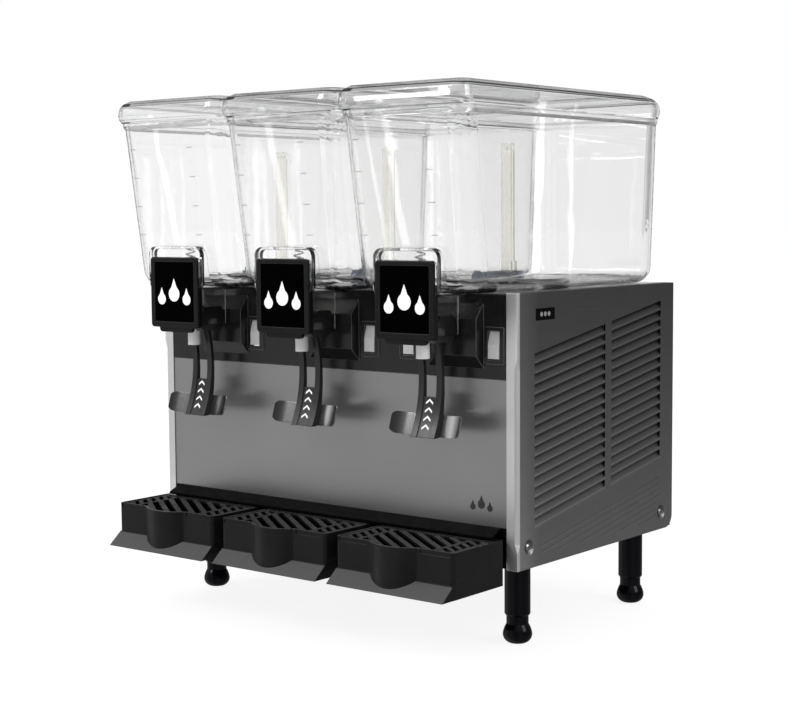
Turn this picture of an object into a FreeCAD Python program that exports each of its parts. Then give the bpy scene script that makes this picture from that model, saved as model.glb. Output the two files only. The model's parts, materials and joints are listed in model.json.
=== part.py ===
import FreeCAD, Part
import math
import os

from FreeCAD import Vector

# Three-bowl refrigerated drink dispenser.  Millimetres, +Z up, +Y to the rear, +X to the right of
# someone who faces the taps.  Everything is drawn with Y = 0 on the cabinet's front face and moved
# once, in save(), so that the origin is the middle of the footprint.

# ---------------------------------------------------------------- driving dimensions
FRONT_FACE_Y = -110.0          # where the cabinet's front face lies in the finished part
CAB_WIDTH = 540.0
CAB_DEPTH = 331.0
CAB_BOTTOM = 92.0
CAB_TOP = 390.0
SHEET = 1.2                    # steel sheet thickness
POST = 14.7                    # visible width of a side panel's front return
PANEL_FACE = 1.0               # front sheets lie this far behind the posts

BAY_PITCH = 175.0
BAYS = {"left": -BAY_PITCH, "centre": 0.0, "right": BAY_PITCH}
PUMP_Y = 116.0                 # pump, cold plate and spray tube centre line

STEEL_LOW, STEEL_HIGH = 137.0, 297.0      # brushed front panel
LEG_X, LEG_FRONT_Y, LEG_REAR_Y = 235.0, 50.0, 292.0
SLEEVE_BOTTOM = 31.0
FOOT_STEM_R = 11.0
RUNNING_FIT = 0.06             # radial clearance of every turning or sliding fit

BOWL_BOTTOM, BOWL_RIM, RIM_TOP = 390.4, 578.0, 585.0
BOWL_WALL = 3.0
BOWL_LOW = {"half": 82.0, "front": -55.3, "rear": 314.8}
BOWL_HIGH = {"half": 85.0, "front": -80.0, "rear": 320.0}
BOWL_CORNERS, BOWL_FILLET = (24.0, 22.0), 20.0     # upright corners at the foot and the rim; bottom edge
FLOOR_HOLE_R = 70.8
PLATE_R = 68.0
PLATE_TOP = 401.0

BOSS_HALF, BOSS_FRONT, BOSS_LOW, BOSS_HIGH = 43.5, -71.5, 386.0, 438.5
COVER_FRONT, COVER_SEAT, COVER_LOW, COVER_HIGH, COVER_HALF = -73.0, -66.5, 341.8, 425.4, 40.3
CHEEK_HALF, CHEEK_REAR, CHEEK_LOW = 28.0, -14.0, 345.0
VALVE_Y = -41.0
VALVE_R = 7.94
PIVOT_Y, PIVOT_Z = -58.0, 350.0
TRUNNION_R = 4.0
LEVER_LOW = 234.0
PAD_TILT = 18.0

TRAY_HALF, TRAY_FRONT, TRAY_REAR = 80.0, -95.0, -3.0
TRAY_TOP, TRAY_LOW, TRAY_FLOOR = 126.0, 76.0, 97.0
TRAY_WALL = 2.5
FLARE_TOP, FLARE_FRONT = 91.0, -113.0
BULGE_HALF, BULGE_RISE = 32.0, 13.0

SWITCH_X = {"left": -112.0, "centre": 67.0, "main": 123.5, "right": 239.5}
SWITCH_Z = 333.5

# ---------------------------------------------------------------- small helpers


def box(x0, x1, y0, y1, z0, z1):
    return Part.makeBox(x1 - x0, y1 - y0, z1 - z0, Vector(x0, y0, z0))


def rod(x, y, z, radius, length, axis="z"):
    """Cylinder that starts at (x, y, z) and runs along +axis."""
    direction = {"x": Vector(1, 0, 0), "y": Vector(0, 1, 0), "z": Vector(0, 0, 1)}[axis]
    return Part.makeCylinder(radius, length, Vector(x, y, z), direction)


def fuse(shapes):
    return shapes[0].multiFuse(shapes[1:]).removeSplitter()


def face_of(points):
    return Part.Face(Part.makePolygon(points + points[:1]))


def prism_x(yz_points, x0, x1):
    """Outline drawn in the YZ plane, extruded from x0 to x1."""
    return face_of([Vector(x0, y, z) for y, z in yz_points]).extrude(Vector(x1 - x0, 0, 0))


def prism_y(xz_points, y0, y1):
    return face_of([Vector(x, y0, z) for x, z in xz_points]).extrude(Vector(0, y1 - y0, 0))


def rounded_rectangle(u0, u1, v0, v1, radius, place):
    """Closed wire with four arcs; place(u, v) puts a flat point in space."""
    k = radius * (1.0 - math.sqrt(0.5))
    corners = [(u1, v0, -1, 1), (u1, v1, -1, -1), (u0, v1, 1, -1), (u0, v0, 1, 1)]
    stations = []
    for index, (u, v, du, dv) in enumerate(corners):
        along_u = place(u + du * radius, v)
        along_v = place(u, v + dv * radius)
        middle = place(u + du * k, v + dv * k)
        first, last = (along_u, along_v) if index % 2 == 0 else (along_v, along_u)
        stations.append((first, middle, last))
    edges = []
    for index, (first, middle, last) in enumerate(stations):
        edges.append(Part.Arc(first, middle, last).toShape())
        edges.append(Part.LineSegment(last, stations[(index + 1) % 4][0]).toShape())
    return Part.Wire(edges)


def slab(x0, x1, y0, y1, radius, z):
    """Rounded rectangle lying flat at height z."""
    return rounded_rectangle(x0, x1, y0, y1, radius, lambda u, v: Vector(u, v, z))


def plate_y(x0, x1, z0, z1, radius, y0, y1):
    """Plate with rounded corners standing across Y."""
    wire = rounded_rectangle(x0, x1, z0, z1, radius, lambda u, v: Vector(u, y0, v))
    return Part.Face(wire).extrude(Vector(0, y1 - y0, 0))


def loft(wires):
    return Part.makeLoft(wires, True, True)


def turned(profile, x, y):
    """Solid of revolution about a vertical axis from (radius, height) points."""
    face = face_of([Vector(r, 0, z) for r, z in profile])
    solid = face.revolve(Vector(0, 0, 0), Vector(0, 0, 1), 360)
    return solid.translated(Vector(x, y, 0))


def edges_at_height(shape, z):
    """Edges that lie flat at height z."""
    return [e for e in shape.Edges if abs(e.BoundBox.ZMin - z) < 1e-3 and abs(e.BoundBox.ZMax - z) < 1e-3]


def save(name, shape):
    """Move a finished sub-part into the part's own frame and write it."""
    moved = shape.translated(Vector(0, FRONT_FACE_Y, 0))
    solids = moved.Solids
    if not solids or not moved.isValid():
        raise RuntimeError("bad shape: " + name)
    result = solids[0] if len(solids) == 1 else Part.makeCompound(solids)
    result.exportStep("parts/" + name + ".step")
    print("%-22s solids %2d  volume %9.0f" % (name, len(solids), sum(s.Volume for s in solids)))


# ---------------------------------------------------------------- cabinet

CORNER_SMALL, CORNER_LARGE = 0.8, 4.0      # plain bend and relieved stretch of the front corner
CORNER_LEVELS = [(CAB_BOTTOM, CORNER_SMALL), (112.0, CORNER_SMALL), (121.0, CORNER_LARGE),
                 (309.0, CORNER_LARGE), (319.0, CORNER_SMALL), (CAB_TOP, CORNER_SMALL)]
REAR_CORNER_R = 15.0
LOUVRE_SLOPE = 0.168
LOUVRE_COLUMNS = [(32.0, 176.0), (189.0, 301.0)]
LOUVRE_TOP, LOUVRE_PITCH, LOUVRE_COUNT = 324.2, 11.2, 17
RIB_COUNT, RIB_DROP, RIB_FRONT_Y, RIB_TOP = 7, 7.3, 46.8, 114.3
RIB_FOOT_Z, RIB_REAR_Y, RIB_REAR_SHORT_Y = 104.8, 302.0, 291.7
PANEL_SCREWS_YZ = [(21.7, 115.4), (304.5, 113.0)]
DIMPLE_R, DIMPLE_FLOOR_R, DIMPLE_DEPTH = 9.0, 5.5, 2.5


def side_section(chamfer, z):
    """Plan of the folded side sheet: front return, relieved corner, side, rear return."""
    out = CAB_WIDTH / 2
    inn = out - SHEET
    k = chamfer + SHEET * (math.sqrt(2.0) - 1.0)
    rear_return = out - 12.3
    points = [(out - POST, 0), (out - chamfer, 0), (out, chamfer), (out, CAB_DEPTH),
              (rear_return, CAB_DEPTH), (rear_return, CAB_DEPTH - SHEET), (inn, CAB_DEPTH - SHEET),
              (inn, k), (out - k, SHEET), (out - POST, SHEET)]
    vectors = [Vector(x, y, z) for x, y in points]
    return Part.makePolygon(vectors + vectors[:1])


def louvre_window(y0, y1):
    """Cutter for one column of louvres, sheared so that its edges follow the slats."""
    out = CAB_WIDTH / 2
    rise0 = LOUVRE_SLOPE * (y0 - LOUVRE_COLUMNS[0][0])
    rise1 = LOUVRE_SLOPE * (y1 - LOUVRE_COLUMNS[0][0])
    low = LOUVRE_TOP - LOUVRE_COUNT * LOUVRE_PITCH
    outline = [(y0, low + rise0), (y1, low + rise1), (y1, LOUVRE_TOP + rise1), (y0, LOUVRE_TOP + rise0)]
    return prism_x(outline, out - 2 * SHEET, out + SHEET)


def louvre_slat(y0, y1, z):
    """Slat flush with the side at its foot and leaning inboard to its head."""
    out = CAB_WIDTH / 2
    section = [(out, 0.0), (out, 1.5), (out - 6.0, 10.4), (out - 7.2, 9.6)]
    start = y0 - 1.0
    length = y1 - y0 + 2.0
    z_start = z + LOUVRE_SLOPE * (start - LOUVRE_COLUMNS[0][0])
    face = face_of([Vector(x, start, z_start + dz) for x, dz in section])
    return face.extrude(Vector(0, length, LOUVRE_SLOPE * length))


def side_rib(index):
    """Cutter for one shallow stepped rib below the louvres."""
    out = CAB_WIDTH / 2
    line = RIB_TOP - index * RIB_DROP
    y0 = max(RIB_FRONT_Y, RIB_FRONT_Y + (RIB_FOOT_Z - line) / LOUVRE_SLOPE)
    y1 = RIB_REAR_Y if index < 4 else RIB_REAR_SHORT_Y
    z0 = line + LOUVRE_SLOPE * (y0 - RIB_FRONT_Y)
    section = [(out - 0.7, 0.0), (out + 1.0, 0.0), (out + 1.0, -6.6)]
    face = face_of([Vector(x, y0, z0 + dz) for x, dz in section])
    return face.extrude(Vector(0, y1 - y0, LOUVRE_SLOPE * (y1 - y0)))


def screw_dimple(y, z):
    """Conical cup pressed into the side round one screw: (cutter, cup)."""
    out = CAB_WIDTH / 2
    floor = out - DIMPLE_DEPTH
    axis = Vector(1, 0, 0)
    mouth = Part.makeCone(DIMPLE_FLOOR_R, DIMPLE_R, DIMPLE_DEPTH, Vector(floor, y, z), axis)
    skin = Part.makeCone(DIMPLE_FLOOR_R + 0.6, DIMPLE_R + 1.2, DIMPLE_DEPTH,
                         Vector(floor - SHEET, y, z), axis)
    hole = rod(floor - 2 * SHEET, y, z, 2.2, 2 * SHEET + 1.0, "x")
    return mouth, skin.cut(mouth).cut(hole)


def make_side_panel():
    """Right-hand side; the left one is its mirror image."""
    out = CAB_WIDTH / 2
    sheet = loft([side_section(chamfer, z) for z, chamfer in CORNER_LEVELS])
    top_fold = box(out - POST + 1.0, out - 1.0, 1.0, CAB_DEPTH - 1.0, CAB_TOP - SHEET, CAB_TOP)
    low_fold = box(out - 11.0, out - 1.0, 1.0, CAB_DEPTH - 1.0, CAB_BOTTOM, CAB_BOTTOM + SHEET)
    panel = fuse([sheet, top_fold, low_fold])
    corner_y = CAB_DEPTH - REAR_CORNER_R
    corner = box(out - 20, out + 1, corner_y, CAB_DEPTH + 1, CAB_BOTTOM - 1, CAB_BOTTOM + REAR_CORNER_R)
    corner = corner.cut(rod(out - 21, corner_y, CAB_BOTTOM + REAR_CORNER_R, REAR_CORNER_R, 23, "x"))
    cutters = [corner] + [louvre_window(y0, y1) for y0, y1 in LOUVRE_COLUMNS]
    cutters += [side_rib(index) for index in range(RIB_COUNT)]
    cups = []
    for y, z in PANEL_SCREWS_YZ:
        mouth, cup = screw_dimple(y, z)
        cutters.append(mouth)
        cups.append(cup)
    panel = panel.cut(cutters)
    slats = []
    for y0, y1 in LOUVRE_COLUMNS:
        for index in range(LOUVRE_COUNT):
            slats.append(louvre_slat(y0, y1, LOUVRE_TOP - (index + 1) * LOUVRE_PITCH))
    return fuse([panel] + slats + cups)


def make_panel_screws():
    out = CAB_WIDTH / 2
    seat = out - DIMPLE_DEPTH
    screws = []
    for y, z in PANEL_SCREWS_YZ:
        head = rod(seat, y, z, 4.2, 1.4, "x")
        crown = Part.makeCone(4.2, 2.6, 0.9, Vector(seat + 1.4, y, z), Vector(1, 0, 0))
        shank = rod(seat - 9.0, y, z, 2.0, 9.0, "x")
        slots = box(seat + 1.5, out + 1, y - 0.4, y + 0.4, z - 2.0, z + 2.0)
        cross = box(seat + 1.5, out + 1, y - 2.0, y + 2.0, z - 0.4, z + 0.4)
        screw = fuse([head, crown, shank]).cut([slots, cross])
        screws += [screw, screw.mirror(Vector(0, 0, 0), Vector(1, 0, 0))]
    return Part.makeCompound(screws)


FRONT_HALF = CAB_WIDTH / 2 - POST - 0.3     # front sheets fit between the posts
SILL_HALF = 248.0
SHELF_TOP, SHELF_HALF, SHELF_FRONT = 96.6, 58.0, -74.0


def make_base_pan():
    """Floor of the cabinet, folded up at the front, with the sill and the three tray shelves."""
    inner = CAB_WIDTH / 2 - SHEET - 0.3
    floor_z = CAB_BOTTOM + SHEET
    y = PANEL_FACE
    floor = box(-inner, inner, 6.0, CAB_DEPTH - SHEET - 0.2, floor_z, floor_z + SHEET)
    front_floor = box(-FRONT_HALF, FRONT_HALF, y, 7.0, floor_z, floor_z + SHEET)
    upstand = box(-FRONT_HALF, FRONT_HALF, y, y + 1.5, floor_z, STEEL_LOW)
    lip = [(y + 0.5, STEEL_LOW), (y + 0.5, STEEL_LOW - 4.0), (-16.0, 128.6), (-18.0, 127.2),
           (-18.0, 129.4), (-1.0, STEEL_LOW)]
    pieces = [floor, front_floor, upstand, prism_x(lip, -SILL_HALF, SILL_HALF)]
    for bay in BAYS.values():
        shelf = box(bay - SHELF_HALF, bay + SHELF_HALF, SHELF_FRONT, y + 1.0, SHELF_TOP - 1.5, SHELF_TOP)
        lip_down = box(bay - SHELF_HALF, bay + SHELF_HALF, SHELF_FRONT, SHELF_FRONT + 1.5,
                       SHELF_TOP - 9.0, SHELF_TOP)
        pieces += [shelf, lip_down]
    air = [rod(x, 150 + 26 * row, floor_z - 1, 6.0, 4.0) for x in range(-200, 201, 40) for row in range(5)]
    return fuse(pieces).cut(air)


def make_front_panel():
    y = PANEL_FACE
    low, high = STEEL_LOW + 0.2, STEEL_HIGH - 0.2
    skin = box(-FRONT_HALF, FRONT_HALF, y, y + SHEET, low, high)
    folds = [box(-FRONT_HALF, FRONT_HALF, y, 12.0, low, low + SHEET),
             box(-FRONT_HALF, FRONT_HALF, y, 12.0, high - SHEET, high)]
    return fuse([skin] + folds)


NOSE_LEFT, NOSE_RIGHT = -26.0, 50.0
BEZEL = (13.0, 20.0)            # half width and half height of a switch bezel
SWITCH_HOLE = (7.5, 15.6)


def fascia_nose(bay, inset):
    """Frustum that stands forward of the fascia; inset makes the hollow inside it."""
    def outline(left, right, low, high, y):
        return Part.makePolygon([Vector(bay + left, y, low), Vector(bay + right, y, low),
                                 Vector(bay + right, y, high), Vector(bay + left, y, high),
                                 Vector(bay + left, y, low)])
    back = PANEL_FACE + 3.0
    root = outline(NOSE_LEFT - 3 + inset, NOSE_RIGHT + 1 - inset, 305.5 + inset, 380.0 - inset, back)
    base = outline(NOSE_LEFT + inset, NOSE_RIGHT - inset, 308.0 + inset, 378.0 - inset, PANEL_FACE)
    crown = outline(NOSE_LEFT + 19 + inset, NOSE_RIGHT - 2 - inset, 322.0 + inset, 362.0 - inset,
                    -10.0 + inset)
    return loft([root, base, crown])


def make_fascia():
    y = PANEL_FACE
    back = y + 3.0
    slab_front = box(-FRONT_HALF, FRONT_HALF, y, back, STEEL_HIGH, CAB_TOP - SHEET - 0.2)
    raised = [fascia_nose(bay, 0.0) for bay in BAYS.values()]
    hollows = [fascia_nose(bay, 2.2) for bay in BAYS.values()]
    for x in SWITCH_X.values():
        half_w, half_h = BEZEL
        low, high = SWITCH_Z - half_h, SWITCH_Z + half_h
        raised.append(plate_y(x - half_w, x + half_w, low, high, 3.0, y - 1.6, back))
        hole_w, hole_h = SWITCH_HOLE
        hollows.append(box(x - hole_w, x + hole_w, y - 3, back + 1, SWITCH_Z - hole_h, SWITCH_Z + hole_h))
    return fuse([slab_front] + raised).cut(hollows)


ROCKER_PIVOT_Y = 5.0
ROCKER_REST = -8.0             # the rocker stands tipped to one side at rest


def make_rocker(x):
    half = SWITCH_HOLE[0] - 0.35
    outline = [(-1.4, 0.0), (0.6, 14.9), (3.2, 14.9), (9.0, 8.0), (9.0, -8.0), (3.2, -14.9), (0.6, -14.9)]
    rocker = prism_x([(y, z + SWITCH_Z) for y, z in outline], x - half, x + half)
    rocker.rotate(Vector(x, ROCKER_PIVOT_Y, SWITCH_Z), Vector(1, 0, 0), ROCKER_REST)
    return rocker


def make_rear_panel():
    half = CAB_WIDTH / 2 - 12.6
    back, front = CAB_DEPTH, CAB_DEPTH - SHEET
    skin = box(-half, half, front, back, CAB_BOTTOM + 3.5, CAB_TOP - SHEET - 0.2)
    slots = []
    for column in (-150.0, 0.0, 150.0):
        for row in range(10):
            z = 190.0 + 16.0 * row
            slots.append(plate_y(column - 55, column + 55, z, z + 5.0, 2.4, front - 1, back + 1))
    collar = rod(205, front, 130, 13.0, SHEET + 2.0, "y")
    bore = rod(205, front - 1, 130, 8.0, SHEET + 5.0, "y")
    return fuse([skin.cut(slots), collar]).cut(bore)


def make_top_deck():
    y0, y1 = SHEET + 0.1, CAB_DEPTH - SHEET - 0.2
    half = CAB_WIDTH / 2 - POST + 0.8
    deck = box(-half, half, y0, y1, CAB_TOP - SHEET, CAB_TOP)
    return deck.cut([rod(bay, PUMP_Y, CAB_TOP - 5, 24.0, 10.0) for bay in BAYS.values()])


def leg_places():
    return {"front_left": (-LEG_X, LEG_FRONT_Y), "front_right": (LEG_X, LEG_FRONT_Y),
            "rear_left": (-LEG_X, LEG_REAR_Y), "rear_right": (LEG_X, LEG_REAR_Y)}


def make_leg_sleeves():
    top = CAB_BOTTOM + SHEET
    bore = FOOT_STEM_R + RUNNING_FIT
    profile = [(bore, SLEEVE_BOTTOM), (13.0, SLEEVE_BOTTOM), (14.5, SLEEVE_BOTTOM + 2.0), (14.5, top - 6.0),
               (20.0, top - 2.5), (20.0, top), (bore, top)]
    return Part.makeCompound([turned(profile, x, y) for x, y in leg_places().values()])


def make_foot(x, y):
    """Turned foot: stem up the sleeve, neck, bulb and a flat sole."""
    def at(r, z):
        return Vector(r, 0, z)
    edges = [Part.LineSegment(at(0, 0), at(9.0, 0)),
             Part.Arc(at(9.0, 0), at(15.2, 5.0), at(16.3, 11.5)),
             Part.Arc(at(16.3, 11.5), at(14.6, 17.2), at(12.4, 21.5)),
             Part.LineSegment(at(12.4, 21.5), at(12.4, SLEEVE_BOTTOM - 0.4)),
             Part.LineSegment(at(12.4, SLEEVE_BOTTOM - 0.4), at(FOOT_STEM_R, SLEEVE_BOTTOM - 0.4)),
             Part.LineSegment(at(FOOT_STEM_R, SLEEVE_BOTTOM - 0.4), at(FOOT_STEM_R, 84.0)),
             Part.LineSegment(at(FOOT_STEM_R, 84.0), at(0, 84.0)),
             Part.LineSegment(at(0, 84.0), at(0, 0))]
    face = Part.Face(Part.Wire([edge.toShape() for edge in edges]))
    return face.revolve(Vector(0, 0, 0), Vector(0, 0, 1), 360).translated(Vector(x, y, 0))


# ---------------------------------------------------------------- refrigeration and drives

FAN_X, FAN_Y, FAN_Z, FAN_R = 176.0, 165.0, 206.0, 80.0
SHROUD_X = 200.0
MOTOR_LOW, MOTOR_HIGH, MOTOR_R = 316.0, 370.0, 31.0
MAGNET_R = 20.0


def make_compressor():
    """Hermetic compressor: pressed can on a foot plate, with its terminal box."""
    x, y = -95.0, 170.0
    base = CAB_BOTTOM + 2 * SHEET
    rise = [(0, 12), (62, 12), (74, 24), (76, 62), (79, 64), (79, 70), (76, 72), (74, 112), (60, 132),
            (25, 142), (0, 142)]
    can = turned([(r, base + z) for r, z in rise], x, y)
    plate = box(x - 84, x + 84, y - 62, y + 62, base, base + 14)
    cover = box(x + 60, x + 96, y - 26, y + 26, base + 48, base + 104)
    pipe = rod(x + 20, y + 30, base + 120, 5.0, 45.0)
    return fuse([can, plate, cover, pipe])


def make_condenser():
    """Finned block: end plates, tube runs and thin fins in one brazed piece."""
    x0, x1, y0, y1, z0, z1 = 212.0, 246.0, 55.0, 301.0, 112.0, 372.0
    pieces = [box(x0, x1, y0, y0 + 2, z0 - 17.6, z1), box(x0, x1, y1 - 2, y1, z0 - 17.6, z1)]
    for row in range(8):
        pieces.append(rod(x0 + 10, y0, z0 + 15 + 31 * row, 4.0, y1 - y0, "y"))
        pieces.append(rod(x1 - 10, y0, z0 + 30 + 31 * row, 4.0, y1 - y0, "y"))
    for index in range(30):
        y = y0 + 6 + 8 * index
        pieces.append(box(x0 + 2, x1 - 2, y, y + 1.0, z0, z1))
    return fuse(pieces)


def make_fan_motor():
    """Shroud plate with its ring, and the motor held behind the blades on three arms."""
    plate = box(SHROUD_X, SHROUD_X + 2, 60, 270, CAB_BOTTOM + 2 * SHEET, 300)
    ring = rod(SHROUD_X - 12, FAN_Y, FAN_Z, FAN_R + 8, 12.0, "x")
    hole = rod(SHROUD_X - 13, FAN_Y, FAN_Z, FAN_R + 5, 20.0, "x")
    pieces = [fuse([plate, ring]).cut(hole), rod(112, FAN_Y, FAN_Z, 27.0, 48.0, "x")]
    for turn in (90, 210, 330):
        arm = box(148, 154, FAN_Y - 5, FAN_Y + 5, FAN_Z + 20, FAN_Z + FAN_R + 12)
        post = box(148, SHROUD_X, FAN_Y - 5, FAN_Y + 5, FAN_Z + FAN_R + 5.5, FAN_Z + FAN_R + 12)
        pair = fuse([arm, post])
        pair.rotate(Vector(0, FAN_Y, FAN_Z), Vector(1, 0, 0), turn)
        pieces.append(pair)
    bore = rod(140, FAN_Y, FAN_Z, 4.0 + RUNNING_FIT, 30.0, "x")
    return fuse(pieces).cut(bore)


def make_fan_blade():
    hub = rod(FAN_X - 12, FAN_Y, FAN_Z, 18.0, 18.0, "x")
    shaft = rod(142, FAN_Y, FAN_Z, 4.0, 30.0, "x")
    pieces = [hub, shaft]
    for index in range(5):
        blade = box(FAN_X - 4, FAN_X - 2, FAN_Y - 20, FAN_Y + 20, FAN_Z + 14, FAN_Z + FAN_R - 2)
        blade.rotate(Vector(FAN_X - 3, FAN_Y, FAN_Z), Vector(0, 0, 1), 24)
        blade.rotate(Vector(0, FAN_Y, FAN_Z), Vector(1, 0, 0), 72 * index)
        pieces.append(blade)
    return fuse(pieces)


def make_pump_motor(bay):
    body = turned([(3.0 + RUNNING_FIT, MOTOR_LOW + 8), (MOTOR_R, MOTOR_LOW + 8), (MOTOR_R, MOTOR_HIGH),
                   (3.0 + RUNNING_FIT, MOTOR_HIGH)], bay, PUMP_Y)
    cap = rod(bay, PUMP_Y, MOTOR_LOW, 24.0, 8.0)
    posts = []
    for index in range(3):
        angle = math.radians(90 + 120 * index)
        x, y = bay + 27.0 * math.cos(angle), PUMP_Y + 27.0 * math.sin(angle)
        posts.append(rod(x, y, MOTOR_HIGH - 1, 2.5, CAB_TOP - SHEET - MOTOR_HIGH + 1))
    return fuse([body, cap] + posts)


def make_drive_magnet(bay):
    """Magnet holder on the motor shaft, just under the cold plate."""
    holder = rod(bay, PUMP_Y, 381.0, MAGNET_R, 14.5)
    sockets = []
    for index in range(4):
        angle = math.radians(45 + 90 * index)
        sockets.append(rod(bay + 12 * math.cos(angle), PUMP_Y + 12 * math.sin(angle), 393.5, 4.0, 4.0))
    return fuse([holder.cut(sockets), rod(bay, PUMP_Y, MOTOR_LOW + 14, 3.0, 66.0)])


def make_cold_plate(bay):
    """Shallow domed plate on the deck with a pin for the impeller."""
    inner = PLATE_R - 4.0
    profile = [(inner, CAB_TOP), (PLATE_R, CAB_TOP), (PLATE_R, PLATE_TOP - 4.0), (inner, PLATE_TOP),
               (0, PLATE_TOP), (0, PLATE_TOP - 3.0), (inner, PLATE_TOP - 3.0)]
    pin = rod(bay, PUMP_Y, PLATE_TOP - 1, 2.0, 6.5)
    return fuse([turned(profile, bay, PUMP_Y), pin])


def make_gasket(bay):
    outer = rod(bay, PUMP_Y, CAB_TOP, FLOOR_HOLE_R - 0.4, 6.0)
    return outer.cut(rod(bay, PUMP_Y, CAB_TOP - 1, PLATE_R + 0.1, 8.0))


def make_impeller(bay):
    low = PLATE_TOP + 0.5
    disc = rod(bay, PUMP_Y, low, 15.0, 1.4)
    hub = rod(bay, PUMP_Y, low, 5.0, 5.6)
    vanes = []
    for index in range(6):
        vane = box(3.5, 14.0, -0.7, 0.7, low + 1, low + 5.2)
        vane.rotate(Vector(0, 0, 0), Vector(0, 0, 1), 60 * index)
        vanes.append(vane.translated(Vector(bay, PUMP_Y, 0)))
    bore = rod(bay, PUMP_Y, low - 1, 2.0 + RUNNING_FIT, 9.0)
    return fuse([disc, hub] + vanes).cut(bore)


TUBE_HALF_X, TUBE_HALF_Y, TUBE_TOP = 7.0, 4.2, 554.0
COVER_R, COVER_TOP = 18.5, PLATE_TOP + 8.6


def make_spray_tube(bay):
    """Pump cover with its socket, the flat upright tube and the low guide in front of it."""
    low = PLATE_TOP + 0.3
    cover = [(COVER_R, low), (COVER_R, COVER_TOP - 1.5), (COVER_R - 1.5, COVER_TOP), (0, COVER_TOP),
             (0, COVER_TOP - 1.8), (COVER_R - 2.2, COVER_TOP - 1.8), (COVER_R - 2.2, low)]
    socket_top = COVER_TOP + 11.0
    hx, hy = TUBE_HALF_X, TUBE_HALF_Y
    socket = loft([slab(-hx - 2, hx + 2, -hy - 2, hy + 2, 2.0, z) for z in (COVER_TOP - 1.0, socket_top)])
    tube = loft([slab(-hx, hx, -hy, hy, 1.8, z) for z in (COVER_TOP - 1.0, TUBE_TOP)])
    bore = loft([slab(-hx + 1.5, hx - 1.5, -hy + 1.5, hy - 1.5, 0.8, z)
                 for z in (COVER_TOP - 4.0, TUBE_TOP - 1.6)])
    vents = [box(x - 1.2, x + 1.2, -hy - 1, hy + 1, TUBE_TOP - 8, TUBE_TOP - 3.5) for x in (-3.2, 3.2)]
    guide = loft([slab(-12, 12, -58, -14, 9.0, low), slab(-12, 12, -58, -14, 9.0, low + 4),
                  slab(-9, 9, -54, -16, 6.0, low + 9)])
    guide_hollow = loft([slab(-10, 10, -56, -13, 7.0, low - 1), slab(-10, 10, -56, -13, 7.0, low + 3),
                         slab(-7.5, 7.5, -52, -14, 5.0, low + 7.4)])
    upper = fuse([socket, tube]).translated(Vector(bay, PUMP_Y, 0))
    guide = guide.translated(Vector(bay, PUMP_Y, 0))
    room = rod(bay, PUMP_Y, low - 1, COVER_R - 2.2, COVER_TOP - 1.8 - low + 1)
    body = fuse([turned(cover, bay, PUMP_Y), upper, guide])
    hollows = [shape.translated(Vector(bay, PUMP_Y, 0)) for shape in [bore, guide_hollow] + vents]
    return body.cut(hollows + [room])


# ---------------------------------------------------------------- bowl, lid and tap


def bowl_at(z):
    """Bowl's outer half width, front and rear at height z, from its straight draft."""
    t = (z - BOWL_BOTTOM) / (BOWL_RIM - BOWL_BOTTOM)
    return [BOWL_LOW[key] + t * (BOWL_HIGH[key] - BOWL_LOW[key]) for key in ("half", "front", "rear")]


def bowl_ring(z, inset, radius):
    half, front, rear = bowl_at(z)
    return slab(-half + inset, half - inset, front + inset, rear - inset, radius, z)


def bowl_body(inset, z_low, z_high):
    """Drafted block of the bowl's outline, moved in all round by inset, with a rounded bottom."""
    low_corner, high_corner = BOWL_CORNERS
    block = loft([bowl_ring(z_low, inset, low_corner - inset),
                  bowl_ring(z_high, inset, high_corner - inset)])
    return block.makeFillet(BOWL_FILLET - 1.2 * inset, edges_at_height(block, z_low))


def boss_profile(grow, z_low, y0, y1):
    """Rounded box in front of the bowl that holds the valve."""
    half = BOSS_HALF - grow
    return plate_y(-half, half, z_low, BOSS_HIGH - grow, 11.0 - grow, y0, y1)


def bowl_rim():
    """Flange round the bowl's mouth, which the lid rests on."""
    half, front, rear = bowl_at(BOWL_RIM)
    corner = BOWL_CORNERS[1]
    flange = [slab(-half - 2.0, half + 2.0, front - 2.5, rear + 0.8, corner + 1.5, z)
              for z in (BOWL_RIM + 3.0, RIM_TOP)]
    return loft([slab(-half, half, front, rear, corner, BOWL_RIM - 0.5)] + flange)


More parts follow.
